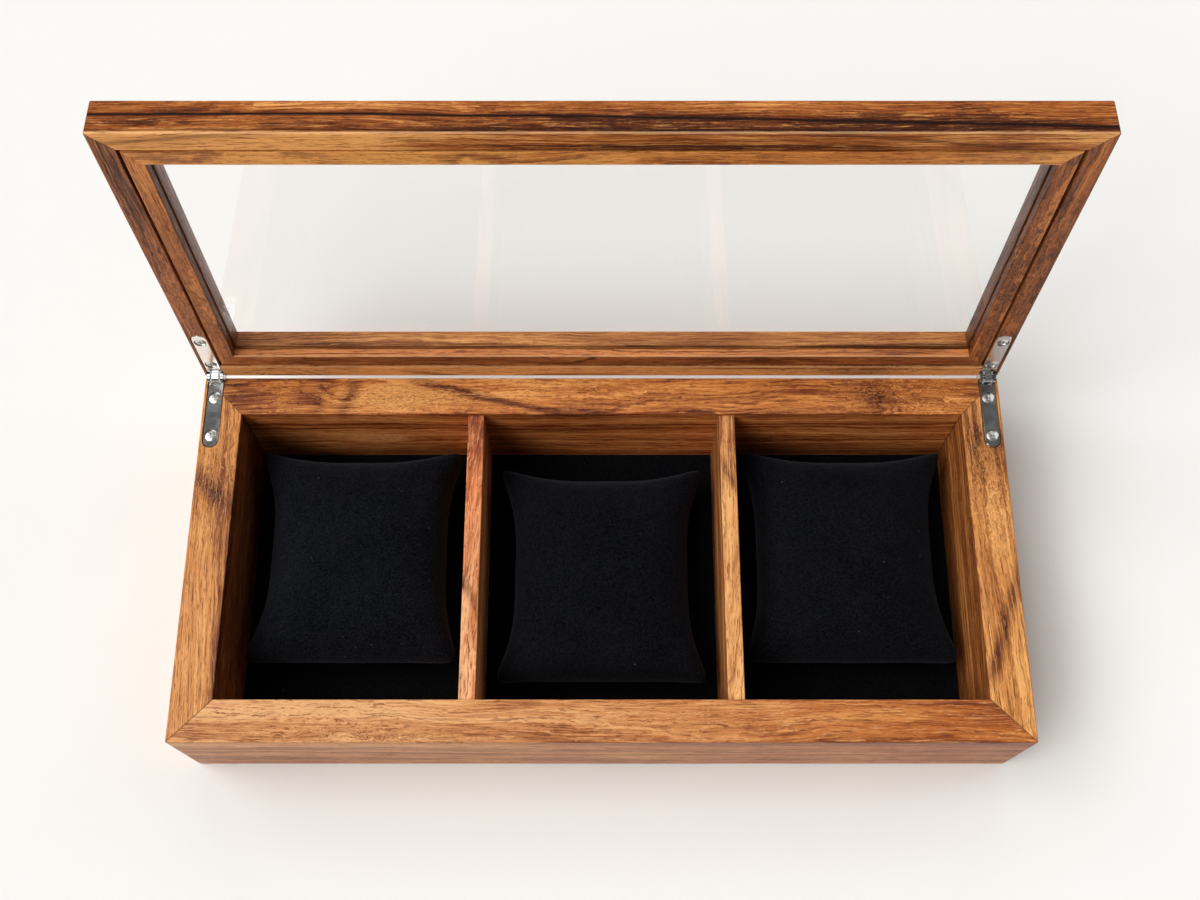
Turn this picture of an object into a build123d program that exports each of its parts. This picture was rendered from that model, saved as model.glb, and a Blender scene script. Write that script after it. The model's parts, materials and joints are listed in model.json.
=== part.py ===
from build123d import *
from math import cos, radians, sin
import os

# A three-bay display box for watches: a mitred hardwood case, a lid glazed from inside, and a
# pair of stop hinges let into the rim. Sizes are in millimetres and angles in degrees.
# The origin is at the centre of the underside. +X runs along the box, +Y points to the hinges
# and +Z is up. The lid stands open, leaning back on the stops of its hinges.

# Case
WIDTH = 300.0
DEPTH = 138.0
HEIGHT = 44.0
WALL = 15.0
OUTER_ROUNDING = 0.6
INNER_ROUNDING = 0.4
PANEL_THICKNESS = 3.0
PANEL_RABBET = 6.0
PANEL_GAP = 0.2

# Bays
MIDDLE_BAY = 88.0
DIVIDER_THICKNESS = 6.0
DIVIDER_DROP = 1.5
DADO_DEPTH = 2.0
LINING_THICKNESS = 1.0
LINING_GAP = 0.3

# Cushions: the free space round each one in its bay, and the lift of its underside
CUSHION_HEIGHT = 32.0
CUSHION_ROUNDING = 11.0
CUSHION_LIFT = 0.1
OUTER_CUSHION_SIDE_GAP = 3.75
OUTER_CUSHION_BACK_GAP = 6.2
OUTER_CUSHION_FRONT_GAP = 17.8
MIDDLE_CUSHION_SIDE_GAP = 5.25
MIDDLE_CUSHION_BACK_GAP = 13.4
MIDDLE_CUSHION_FRONT_GAP = 10.6

# Hinges
OPEN_ANGLE = 95.0
LID_GAP = 0.3
AXIS_OFFSET = 0.35
LEAF_MARGIN = 1.3
LEAF_WIDTH = 5.9
LEAF_LENGTH = 28.4
LEAF_THICKNESS = 2.0
LEAF_BEVEL = 0.3
MORTISE_GAP = 0.2
KNUCKLE_RADIUS = 2.9
KNUCKLE_GAP = 0.1
EAR_WIDTH = 1.05
EAR_SIDE_GAP = 0.65
SLOT_ROOT_GAP = 0.8
PIN_RADIUS = 0.8
PIN_RUNNING_GAP = 0.04
HEEL_RADIUS = 3.7
HEEL_ANGLE = 20.0
STOP_RADIUS = 4.6
STOP_FACE_ANGLE = 305.0
STOP_LUG_ANGLE = 30.0
STOP_GAP_ANGLE = 0.7
NOTCH_GAP = 0.3

# Screws, with their distances from the back of the box
SCREW_HEAD_RADIUS = 2.1
SCREW_HEAD_RIM = 0.2
SCREW_HEAD_DOME = 0.35
SCREW_HEAD_GAP = 0.25
SCREW_SHANK_RADIUS = 1.0
SCREW_LENGTH = 9.0
SCREW_POINT = 2.0
SCREW_PLACES = (8.3, 23.7)
RECESS_LENGTH = 2.3
RECESS_WIDTH = 0.5
RECESS_DEPTH = 0.6

# Lid
LID_THICKNESS = 12.5
QUIRK_WIDTH = 1.0
QUIRK_DEPTH = 2.0
BEAD_WIDTH = 6.0
BEAD_DEPTH = 3.1
GLASS_THICKNESS = 3.0
GLASS_EDGE_GAP = 0.5

# Places that follow from the sizes above
FLOOR = PANEL_THICKNESS + LINING_THICKNESS
LID_BOTTOM = HEIGHT + LID_GAP
LID_TOP = LID_BOTTOM + LID_THICKNESS
BAND = LEAF_MARGIN + LEAF_WIDTH
RABBET = BAND + QUIRK_WIDTH
RAIL = RABBET + BEAD_WIDTH
GLASS_BOTTOM = LID_BOTTOM + BEAD_DEPTH
GLASS_TOP = GLASS_BOTTOM + GLASS_THICKNESS
BAY_FRONT = WALL - DEPTH / 2
BAY_BACK = DEPTH / 2 - WALL
DIVIDER_X = (MIDDLE_BAY + DIVIDER_THICKNESS) / 2
HINGE_X = WIDTH / 2 - LEAF_MARGIN - LEAF_WIDTH / 2
HINGE_Y = DEPTH / 2 + AXIS_OFFSET
HINGE_Z = HEIGHT + LID_GAP / 2
SLOT = LEAF_WIDTH / 2 - EAR_WIDTH
SIDES = {"left": -1, "right": 1}
TOUCHING = 1e-4


def block(x_limits, y_limits, z_limits):
    """A box between three pairs of limits."""
    limits = (x_limits, y_limits, z_limits)
    middle = [(low + high) / 2 for low, high in limits]
    return Pos(*middle) * Box(*[high - low for low, high in limits])


def slab(inset, z_limits):
    """A slab whose four sides lie inside the outline of the box by the inset."""
    half_x = WIDTH / 2 - inset
    half_y = DEPTH / 2 - inset
    return block((-half_x, half_x), (-half_y, half_y), z_limits)


def rod(radius, x_limits):
    """A cylinder about the X axis."""
    low, high = x_limits
    return Pos((low + high) / 2, 0, 0) * Rot(0, 90, 0) * Cylinder(radius, high - low)


def rectangle_edges(frame, inset, z):
    """The straight edges of a frame that lie at height z, the inset inside its outline."""

    def lies_there(edge):
        centre = edge.center()
        beside_x = abs(abs(centre.X) - (WIDTH / 2 - inset)) < TOUCHING
        beside_y = abs(abs(centre.Y) - (DEPTH / 2 - inset)) < TOUCHING
        return abs(centre.Z - z) < TOUCHING and (beside_x or beside_y)

    return frame.edges().filter_by(lies_there)


def corner_edges(frame, inset):
    """The upright edges of a frame at its four corners, the inset inside its outline."""

    def lies_there(edge):
        centre = edge.center()
        beside_x = abs(abs(centre.X) - (WIDTH / 2 - inset)) < TOUCHING
        beside_y = abs(abs(centre.Y) - (DEPTH / 2 - inset)) < TOUCHING
        return beside_x and beside_y

    return frame.edges().filter_by(Axis.Z).filter_by(lies_there)


def mitred_boards(frame, z_limits):
    """Part a rectangular frame at its mitres into four boards, keyed by side."""
    low, high = z_limits
    margin = WALL
    corner_x = WIDTH / 2 + margin
    corner_y = DEPTH / 2 + margin
    ridge_x = (WIDTH - DEPTH) / 2
    front = Polygon(
        (-corner_x, -corner_y), (corner_x, -corner_y), (ridge_x, 0), (-ridge_x, 0), align=None
    )
    left = Polygon((-corner_x, corner_y), (-corner_x, -corner_y), (-ridge_x, 0), align=None)
    outlines = {
        "front": front,
        "back": mirror(front, about=Plane.XZ),
        "left": left,
        "right": mirror(left, about=Plane.YZ),
    }
    return {
        side: frame & (Pos(0, 0, low) * extrude(outline, high - low, dir=(0, 0, 1)))
        for side, outline in outlines.items()
    }


def placed_hinge(side, shape):
    """Move a shape from a hinge's own frame, with its pin on X, to its place on the box."""
    return Pos(SIDES[side] * HINGE_X, HINGE_Y, HINGE_Z) * shape


def lid_half(shape):
    """Turn a piece of a hinge's case half into the matching piece of its lid half."""
    return mirror(shape, about=Plane.XY)


def strap(gap=0.0):
    """The flat of a leaf, its far end rounded; the gap widens it into its mortise."""
    top = -LID_GAP / 2
    centre_y = LEAF_WIDTH / 2 - AXIS_OFFSET - LEAF_LENGTH
    half_width = LEAF_WIDTH / 2 + gap
    flat = block((-half_width, half_width), (centre_y, 0), (top - LEAF_THICKNESS, top))
    nose = Pos(0, centre_y, top - LEAF_THICKNESS / 2) * Cylinder(half_width, LEAF_THICKNESS)
    return flat + nose


def bevelled_strap():
    """The flat of a leaf with a bevel round its showing face."""
    flat = strap()
    face = flat.faces().sort_by(Axis.Z)[-1]
    rim = face.edges().filter_by(lambda edge: edge.center().Y < -TOUCHING)
    return chamfer(rim, LEAF_BEVEL)


def sector(inner_radius, outer_radius, start, end, half_width):
    """Part of a ring about the pin, between two angles that turn up from the leaves."""
    ring = rod(outer_radius, (-half_width, half_width)) - rod(inner_radius, (-half_width, half_width))
    reach = 2 * outer_radius
    angles = [radians(angle) for angle in (start, (start + end) / 2, end)]
    corners = [(-reach * cos(angle), reach * sin(angle)) for angle in angles]
    wedge = extrude(Plane.YZ * Polygon((0, 0), *corners, align=None), half_width, both=True)
    return ring & wedge


def screw_blanks():
    """The two screws of one leaf with flat heads flush with the leaf, and without recesses."""
    head = SCREW_HEAD_DOME + SCREW_HEAD_RIM
    outline = Polygon(
        (0, 0),
        (SCREW_HEAD_RADIUS, 0),
        (SCREW_HEAD_RADIUS, -head),
        (SCREW_SHANK_RADIUS, -head - SCREW_HEAD_RADIUS + SCREW_SHANK_RADIUS),
        (SCREW_SHANK_RADIUS, SCREW_POINT - SCREW_LENGTH),
        (0, -SCREW_LENGTH),
        align=None,
    )
    blank = revolve(Plane.XZ * outline, Axis.Z)
    return [screw_place(place) * blank for place in SCREW_PLACES]


def screw_place(place):
    """Where a screw's head stands, from its distance from the back of the box."""
    return Pos(0, -AXIS_OFFSET - place, -LID_GAP / 2)


def screws():
    """The two screws of one leaf, with low domed heads and cross recesses."""
    dome = (SCREW_HEAD_RADIUS**2 + SCREW_HEAD_DOME**2) / (2 * SCREW_HEAD_DOME)
    arm = (RECESS_LENGTH / 2, RECESS_WIDTH / 2)
    depth = (-RECESS_DEPTH, RECESS_DEPTH)
    cross = block((-arm[0], arm[0]), (-arm[1], arm[1]), depth)
    cross += block((-arm[1], arm[1]), (-arm[0], arm[0]), depth)
    shape = Pos(0, 0, -dome) * Sphere(dome) - cross
    return [
        blank & (screw_place(place) * shape)
        for blank, place in zip(screw_blanks(), SCREW_PLACES)
    ]


def screw_seats():
    """What a leaf loses to its two screws, with a narrow ring left free round each head."""
    head = SCREW_HEAD_DOME + SCREW_HEAD_RIM
    ring = Pos(0, 0, -head / 2) * Cylinder(SCREW_HEAD_RADIUS + SCREW_HEAD_GAP, head)
    return [
        blank + screw_place(place) * ring for blank, place in zip(screw_blanks(), SCREW_PLACES)
    ]


def case_leaf():
    """The lower leaf: a strap forked into two ears, with a stop lug between them."""
    leaf = bevelled_strap() - rod(KNUCKLE_RADIUS + SLOT_ROOT_GAP, (-SLOT, SLOT))
    for outer, inner in ((-LEAF_WIDTH / 2, -SLOT), (SLOT, LEAF_WIDTH / 2)):
        leaf += rod(KNUCKLE_RADIUS, (outer, inner))
    lug_end = STOP_FACE_ANGLE + STOP_LUG_ANGLE
    heel_room = STOP_FACE_ANGLE - 2 * HEEL_ANGLE
    leaf += sector(KNUCKLE_RADIUS + KNUCKLE_GAP, STOP_RADIUS, STOP_FACE_ANGLE, lug_end, SLOT)
    leaf -= sector(KNUCKLE_RADIUS, STOP_RADIUS, heel_room, STOP_FACE_ANGLE, SLOT)
    leaf -= rod(PIN_RADIUS, (-LEAF_WIDTH, LEAF_WIDTH))
    for seat in screw_seats():
        leaf -= seat
    return leaf


def lid_leaf():
    """The upper leaf, lid shut: a strap with a tongue whose heel meets the lug when open."""
    tongue = SLOT - EAR_SIDE_GAP
    leaf = bevelled_strap()
    for outer, inner in ((-LEAF_WIDTH, -tongue), (tongue, LEAF_WIDTH)):
        leaf -= rod(KNUCKLE_RADIUS + SLOT_ROOT_GAP, (outer, inner))
    leaf += rod(KNUCKLE_RADIUS, (-tongue, tongue))
    for seat in screw_seats():
        leaf -= seat
    heel_end = STOP_FACE_ANGLE - STOP_GAP_ANGLE - OPEN_ANGLE
    heel_start = heel_end - HEEL_ANGLE
    leaf = lid_half(leaf) + sector(PIN_RADIUS, HEEL_RADIUS, heel_start, heel_end, tongue)
    return leaf - rod(PIN_RADIUS + PIN_RUNNING_GAP, (-LEAF_WIDTH, LEAF_WIDTH))


def hinge_housing(notch_radius):
    """What a case wall loses to one hinge: its mortise, knuckle notch and screw holes."""
    notch_half = LEAF_WIDTH / 2 + NOTCH_GAP
    housing = strap(MORTISE_GAP) + rod(notch_radius, (-notch_half, notch_half))
    for blank in screw_blanks():
        housing += blank
    return housing


def case_walls():
    """The four mitred walls, rabbeted for the bottom and grooved for the dividers."""
    frame = slab(0, (0, HEIGHT)) - slab(WALL, (0, HEIGHT))
    outer = corner_edges(frame, 0) + rectangle_edges(frame, 0, 0) + rectangle_edges(frame, 0, HEIGHT)
    frame = fillet(outer, OUTER_ROUNDING)
    frame = fillet(rectangle_edges(frame, WALL, HEIGHT), INNER_ROUNDING)
    frame -= slab(WALL - PANEL_RABBET, (0, PANEL_THICKNESS))
    for divider in dividers().values():
        frame -= divider
    for side in SIDES:
        frame -= placed_hinge(side, hinge_housing(STOP_RADIUS + NOTCH_GAP))
    boards = mitred_boards(frame, (0, HEIGHT))
    return {f"{side}_wall": board for side, board in boards.items()}


def dividers():
    """The two dividers, housed in the front and back walls."""
    nodes = {}
    for side, sign in SIDES.items():
        x_limits = (
            sign * DIVIDER_X - DIVIDER_THICKNESS / 2,
            sign * DIVIDER_X + DIVIDER_THICKNESS / 2,
        )
        y_limits = (BAY_FRONT - DADO_DEPTH, BAY_BACK + DADO_DEPTH)
        divider = block(x_limits, y_limits, (PANEL_THICKNESS, HEIGHT - DIVIDER_DROP))
        top_edges = divider.edges().filter_by(Axis.Y).group_by(Axis.Z)[-1]
        nodes[f"{side}_divider"] = fillet(top_edges, INNER_ROUNDING)
    return nodes


def bays():
    """The X limits of each bay."""
    inner_wall = WIDTH / 2 - WALL
    outer_side = DIVIDER_X + DIVIDER_THICKNESS / 2
    return {
        "left": (-inner_wall, -outer_side),
        "middle": (-MIDDLE_BAY / 2, MIDDLE_BAY / 2),
        "right": (outer_side, inner_wall),
    }


def linings():
    """A velvet-covered card on the floor of each bay."""
    y_limits = (BAY_FRONT + LINING_GAP, BAY_BACK - LINING_GAP)
    return {
        f"{name}_floor_lining": block(
            (low + LINING_GAP, high - LINING_GAP), y_limits, (PANEL_THICKNESS, FLOOR)
        )
        for name, (low, high) in bays().items()
    }


def cushions():
    """A soft cushion in each bay, rounded all over."""
    outer_gaps = (OUTER_CUSHION_SIDE_GAP, OUTER_CUSHION_FRONT_GAP, OUTER_CUSHION_BACK_GAP)
    middle_gaps = (MIDDLE_CUSHION_SIDE_GAP, MIDDLE_CUSHION_FRONT_GAP, MIDDLE_CUSHION_BACK_GAP)
    bottom = FLOOR + CUSHION_LIFT
    nodes = {}
    for name, (low, high) in bays().items():
        side_gap, front_gap, back_gap = middle_gaps if name == "middle" else outer_gaps
        x_limits = (low + side_gap, high - side_gap)
        y_limits = (BAY_FRONT + front_gap, BAY_BACK - back_gap)
        cushion = block(x_limits, y_limits, (bottom, bottom + CUSHION_HEIGHT))
        nodes[f"{name}_cushion"] = fillet(cushion.edges(), CUSHION_ROUNDING)
    return nodes


def lid_frame():
    """The four mitred members of the lid, rabbeted for the glass, with a quirk beside it."""
    z_limits = (LID_BOTTOM, LID_TOP)
    frame = slab(0, z_limits) - slab(RAIL, z_limits)
    outer = corner_edges(frame, 0)
    outer += rectangle_edges(frame, 0, LID_BOTTOM) + rectangle_edges(frame, 0, LID_TOP)
    frame = fillet(outer, OUTER_ROUNDING)
    frame = fillet(rectangle_edges(frame, RAIL, LID_TOP), INNER_ROUNDING)
    frame -= slab(RABBET, (LID_BOTTOM, GLASS_TOP))
    frame -= slab(BAND, (LID_BOTTOM, LID_BOTTOM + QUIRK_DEPTH))
    for side in SIDES:
        housing = lid_half(hinge_housing(KNUCKLE_RADIUS + NOTCH_GAP))
        frame -= placed_hinge(side, housing)
    boards = mitred_boards(frame, z_limits)
    names = {
        "front": "lid_front_rail",
        "back": "lid_back_rail",
        "left": "lid_left_stile",
        "right": "lid_right_stile",
    }
    return {names[side]: board for side, board in boards.items()}


def glazing():
    """The glass pane and the four mitred beads under its edges."""
    z_limits = (LID_BOTTOM, GLASS_BOTTOM)
    frame = slab(RABBET, z_limits) - slab(RAIL, z_limits)
    lower = rectangle_edges(frame, RABBET, LID_BOTTOM) + rectangle_edges(frame, RAIL, LID_BOTTOM)
    frame = fillet(lower, INNER_ROUNDING)
    nodes = {f"{side}_glazing_bead": bead for side, bead in mitred_boards(frame, z_limits).items()}
    nodes["glass_pane"] = slab(RABBET + GLASS_EDGE_GAP, (GLASS_BOTTOM, GLASS_TOP))
    return nodes


def case_nodes():
    """Every piece that stays with the case."""
    outer_x = WIDTH / 2 - WALL + PANEL_RABBET - PANEL_GAP
    outer_y = DEPTH / 2 - WALL + PANEL_RABBET - PANEL_GAP
    nodes = {
        "bottom_panel": block((-outer_x, outer_x), (-outer_y, outer_y), (0, PANEL_THICKNESS)),
        **case_walls(),
        **dividers(),
        **linings(),
        **cushions(),
    }
    for side in SIDES:
        nodes[f"{side}_case_leaf"] = placed_hinge(side, case_leaf())
        nodes[f"{side}_hinge_pin"] = placed_hinge(
            side, rod(PIN_RADIUS, (-LEAF_WIDTH / 2, LEAF_WIDTH / 2))
        )
        nodes[f"{side}_case_screws"] = Compound(
            [placed_hinge(side, screw).solid() for screw in screws()]
        )
    return nodes


def lid_nodes():
    """Every piece that turns with the lid, turned from shut to open."""
    nodes = {**lid_frame(), **glazing()}
    for side in SIDES:
        nodes[f"{side}_lid_leaf"] = placed_hinge(side, lid_leaf())
        nodes[f"{side}_lid_screws"] = Compound(
            [placed_hinge(side, lid_half(screw)).solid() for screw in screws()]
        )
    hinge_axis = Axis((0, HINGE_Y, HINGE_Z), (1, 0, 0))
    return {name: shape.rotate(hinge_axis, -OPEN_ANGLE) for name, shape in nodes.items()}


os.makedirs("parts", exist_ok=True)
for node, shape in {**case_nodes(), **lid_nodes()}.items():
    export_step(shape, f"parts/{node}.step")
print(f"hinge axis through y = {HINGE_Y:.3f}, z = {HINGE_Z:.3f}")
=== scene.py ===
import json
from dataclasses import dataclass
from math import cos, pi, radians, sin

import bmesh
import bpy
import numpy as np
from mathutils import Matrix, Vector


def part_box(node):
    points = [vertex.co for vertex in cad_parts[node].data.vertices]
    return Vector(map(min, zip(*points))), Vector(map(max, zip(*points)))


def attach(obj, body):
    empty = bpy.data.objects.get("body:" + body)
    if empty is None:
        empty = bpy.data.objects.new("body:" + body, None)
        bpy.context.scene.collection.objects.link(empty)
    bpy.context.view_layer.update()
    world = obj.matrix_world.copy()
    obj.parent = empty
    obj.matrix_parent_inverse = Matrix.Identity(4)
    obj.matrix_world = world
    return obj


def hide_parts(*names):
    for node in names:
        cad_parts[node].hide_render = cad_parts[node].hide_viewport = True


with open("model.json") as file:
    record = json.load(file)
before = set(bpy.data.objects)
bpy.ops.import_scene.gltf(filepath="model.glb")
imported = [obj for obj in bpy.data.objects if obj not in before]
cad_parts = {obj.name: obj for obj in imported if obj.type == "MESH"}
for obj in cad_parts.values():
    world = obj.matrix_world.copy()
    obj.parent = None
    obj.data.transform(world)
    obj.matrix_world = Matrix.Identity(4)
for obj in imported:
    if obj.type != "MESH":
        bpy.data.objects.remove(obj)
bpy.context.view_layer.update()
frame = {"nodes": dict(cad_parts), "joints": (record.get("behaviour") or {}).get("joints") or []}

# Lengths are in metres, apart from names that end in _MM and places on a board, which are in
# millimetres.
MM = 0.001
CASE_HALF_X = -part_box("left_wall")[0].x
CASE_HALF_Y = -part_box("front_wall")[0].y


def srgb(red, green, blue):
    """A screen colour, 0 to 255, as a linear colour for a shader."""
    channels = [value / 255 for value in (red, green, blue)]
    linear = [c / 12.92 if c < 0.04045 else ((c + 0.055) / 1.055) ** 2.4 for c in channels]
    return (*linear, 1.0)


# ---------------------------------------------------------------- camera and light

CAMERA_PLACE = (-0.00057, -0.15352, 0.51582)
CAMERA_TILT = radians(20.907)
CAMERA_LENS_MM = 41.18
CAMERA_SHIFT = 0.0267
CAMERA_NEAR = 0.01
SENSOR_MM = 36.0

# Soft lamps in the studio: name, azimuth from the front towards the right, elevation and width
# in degrees, and strength
LAMPS = (
    ("left_high", 270, 60, 40, 1.20),
    ("left_front", 300, 40, 30, 0.80),
    ("front_left", 325, 45, 25, 0.58),
    ("left_low", 270, 45, 30, 0.39),
    ("left_back", 240, 40, 30, 0.45),
    ("right_back", 120, 40, 40, 0.38),
    ("back", 180, 40, 40, 0.41),
)
ROOM_LIGHT = 0.12
BACKDROP_LIGHT = 0.93
ROOM_COLOUR = (1.0, 0.99, 0.965, 1.0)


def add_camera():
    """The camera of the main view, which looks down on the box from the front."""
    data = bpy.data.cameras.new("camera")
    data.sensor_width = SENSOR_MM
    data.lens = CAMERA_LENS_MM
    data.shift_y = CAMERA_SHIFT
    data.clip_start = CAMERA_NEAR
    camera = bpy.data.objects.new("camera", data)
    camera.location = CAMERA_PLACE
    camera.rotation_euler = (CAMERA_TILT, 0, 0)
    bpy.context.scene.collection.objects.link(camera)
    bpy.context.scene.camera = camera


def add_lamp(name, azimuth, elevation, width, strength):
    """A wide, soft, distant lamp that shines on the box from a direction."""
    turn, rise = radians(azimuth), radians(elevation)
    towards = Vector((sin(turn) * cos(rise), -cos(turn) * cos(rise), sin(rise)))
    data = bpy.data.lights.new(name, "SUN")
    data.angle = radians(width)
    data.energy = strength
    lamp = bpy.data.objects.new(name, data)
    lamp.rotation_euler = (-towards).to_track_quat("-Z", "Y").to_euler()
    bpy.context.scene.collection.objects.link(lamp)


def add_room_light():
    """Dim, even light from all round, and a pale backdrop where the ground ends."""
    world = bpy.data.worlds.new("studio")
    world.use_nodes = True
    nodes, links = world.node_tree.nodes, world.node_tree.links
    background = nodes["Background"]
    background.inputs["Color"].default_value = ROOM_COLOUR
    rays = nodes.new("ShaderNodeLightPath").outputs
    seen = nodes.new("ShaderNodeMath")
    seen.operation = "MAXIMUM"
    links.new(rays["Is Camera Ray"], seen.inputs[0])
    links.new(rays["Is Transmission Ray"], seen.inputs[1])
    strength = nodes.new("ShaderNodeMath")
    strength.operation = "MULTIPLY_ADD"
    strength.inputs[1].default_value = BACKDROP_LIGHT - ROOM_LIGHT
    strength.inputs[2].default_value = ROOM_LIGHT
    links.new(seen.outputs[0], strength.inputs[0])
    links.new(strength.outputs[0], background.inputs["Strength"])
    bpy.context.scene.world = world


# ---------------------------------------------------------------- shader building


class Shader:
    """A material's nodes. Each call adds a node and returns its output."""

    def __init__(self, name):
        self.material = bpy.data.materials.new(name)
        self.material.use_nodes = True
        self.tree = self.material.node_tree
        self.tree.nodes.clear()

    def add(self, kind, inputs=None, **settings):
        """A new node, with values or links for its inputs and settings of its own."""
        node = self.tree.nodes.new(kind)
        for key, value in settings.items():
            setattr(node, key, value)
        for key, value in (inputs or {}).items():
            self.put(node.inputs[key], value)
        return node

    def put(self, socket, value):
        """Link another node's output to a socket, or give the socket a value."""
        if isinstance(value, bpy.types.NodeSocket):
            self.tree.links.new(value, socket)
        else:
            socket.default_value = value

    def math(self, operation, *values):
        node = self.add("ShaderNodeMath", operation=operation)
        for socket, value in zip(node.inputs, values):
            self.put(socket, value)
        return node.outputs[0]

    def vector(self, operation, *values):
        node = self.add("ShaderNodeVectorMath", operation=operation)
        for socket, value in zip(node.inputs, values):
            self.put(socket, value)
        return node.outputs["Value" if operation in ("LENGTH", "DOT_PRODUCT") else "Vector"]

    def object_place(self):
        """Where a point lies in its object's own coordinates."""
        return self.add("ShaderNodeTexCoord").outputs["Object"]

    def mapping(
        self, vector, location=(0, 0, 0), rotation=(0, 0, 0), scale=(1, 1, 1), kind="POINT"
    ):
        inputs = {"Vector": vector, "Location": location, "Rotation": rotation, "Scale": scale}
        return self.add("ShaderNodeMapping", inputs, vector_type=kind).outputs[0]

    def combine(self, x, y, z):
        return self.add("ShaderNodeCombineXYZ", {"X": x, "Y": y, "Z": z}).outputs[0]

    def split(self, vector):
        return self.add("ShaderNodeSeparateXYZ", {"Vector": vector}).outputs

    def noise(self, vector, scale, detail, roughness=0.5, output="Fac", distortion=0.0):
        """Noise that runs about 0.25 to 0.75, its scale in waves for each unit of length."""
        inputs = {
            "Vector": self.vector("MULTIPLY", vector, scale),
            "Scale": 1.0,
            "Detail": detail,
            "Roughness": roughness,
            "Distortion": distortion,
        }
        return self.add("ShaderNodeTexNoise", inputs).outputs[output]

    def wave(self, value, scale, detail, roughness=0.5, offset=0.0):
        """Noise along one number."""
        place = self.math("MULTIPLY_ADD", value, scale, offset)
        inputs = {"W": place, "Scale": 1.0, "Detail": detail, "Roughness": roughness}
        return self.add("ShaderNodeTexNoise", inputs, noise_dimensions="1D").outputs["Fac"]

    def range(self, value, low, high):
        """A smooth step from 0, where the value is at low, to 1, where it is at high."""
        inputs = {"Value": value, "From Min": low, "From Max": high}
        step = self.add("ShaderNodeMapRange", inputs, interpolation_type="SMOOTHSTEP")
        return step.outputs["Result"]

    def band(self, value, middle, reach, core):
        """1 within the core of a band round its middle value, fading to 0 at its reach."""
        away = self.math("ABSOLUTE", self.math("SUBTRACT", value, middle))
        return self.range(away, reach, core)

    def mix(self, factor, first, second, blend="MIX"):
        """A mix of two colours. Its sockets go by number, because several share a name."""
        node = self.add("ShaderNodeMix", data_type="RGBA", blend_type=blend)
        self.put(node.inputs[0], factor)
        self.put(node.inputs[6], first)
        self.put(node.inputs[7], second)
        return node.outputs[2]

    def stain(self, factor, colour, tint):
        """A colour multiplied by a tint."""
        return self.mix(factor, colour, tint, "MULTIPLY")

    def bump(self, height, distance, strength=1.0):
        inputs = {"Height": height, "Distance": distance, "Strength": strength}
        return self.add("ShaderNodeBump", inputs).outputs[0]

    def principled(self, inputs):
        return self.add("ShaderNodeBsdfPrincipled", inputs).outputs[0]

    def finish(self, surface):
        """The material, with this surface."""
        self.add("ShaderNodeOutputMaterial", {"Surface": surface})
        return self.material


# ---------------------------------------------------------------- wood

# Noise scales, in waves for each millimetre along the board, across it and up, or for those of
# the fibres along the board, through its rings and round them
DRIFT_SCALE = (0.010, 0.040, 0.040)
WOBBLE_SCALE = (0.06, 0.20, 0.20)
WIGGLE_SCALE = (0.22, 0.35, 0.35)
CLOUD_SCALE = (0.018, 0.08, 0.08)
PATCH_SCALE = (0.02, 0.12, 0.12)
SQUIGGLE_SCALE = (0.34, 1.00, 1.00)
FIBRE_SCALE = (0.030, 1.3, 1.3)
STRAND_SCALE = (0.07, 2.2, 2.2)
VESSEL_SCALE = (0.26, 2.3, 2.3)

# Scales of the noise through the rings, in waves for each millimetre
BROAD_WAVE = 0.15
RING_WAVE = 0.60
LATE_WAVE = 1.3

# The spans of noise, or of tone, over which a layer goes from none to all
NOISE_SPAN = (0.3, 0.7)
RING_SPAN = (0.32, 0.68)
PALE_TO_MID = (0.12, 0.52)
MID_TO_DEEP = (0.48, 0.95)
LATE_SPAN = (0.58, 0.70)
PATCH_SPAN = (0.40, 0.60)
DARK_STRAND = (0.53, 0.67)
PALE_STRAND = (0.47, 0.33)
VESSEL_SPAN = (0.585, 0.655)

# Squiggles follow two levels of one noise, each as a band with a reach and a core
CREASE_LEVEL = 0.50
CREST_LEVEL = 0.55
SQUIGGLE_BAND = (0.034, 0.004)

# How much each layer adds to the tone, and what is taken off so that the middle tone is 0
BROAD_TONE = 0.26
RING_TONE = 0.30
FIBRE_TONE = 0.32
CLOUD_TONE = 0.18
TONE_OFFSET = -(BROAD_TONE + RING_TONE + FIBRE_TONE + CLOUD_TONE) / 2

# How far apart the grain of two boards lies, in millimetres for each unit of their seeds
SEED_STEP = (61.0, 37.0, 23.0)

# How curly the fibres are where nothing crimps them, and how far curls and drift bend the figure
PLAIN_CRIMP = 0.12
CURL_BEND_MM = 6.0
STREAK_DRIFT_MM = 2.2

# Half the blur at the edge of a face that is darker or lighter, the mitre's dark line as a band
# with a reach and a core, and the depth of the grain
FACE_BLUR_MM = 0.2
GLUE_BAND_MM = (0.40, 0.05)
GRAIN_DEPTH_MM = 0.08

SQUIGGLE_STRENGTH = 0.60
VESSEL_STRENGTH = 0.50
GLUE_STRENGTH = 0.7
MOST_SMOKE = 1.6
WOOD_ROUGHNESS = 0.40
PORE_ROUGHNESS = 0.20

STRAND_TINT = srgb(150, 98, 66)
VESSEL_TINT = srgb(146, 92, 62)
SHOULDER_TINT = srgb(158, 104, 74)
STREAK_COLOUR = srgb(26, 9, 3)
# The colour of painted highlights along arrises
ARRIS_HIGHLIGHT_COLOUR = srgb(250, 206, 156)
GLUE_COLOUR = srgb(52, 26, 14)


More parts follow.
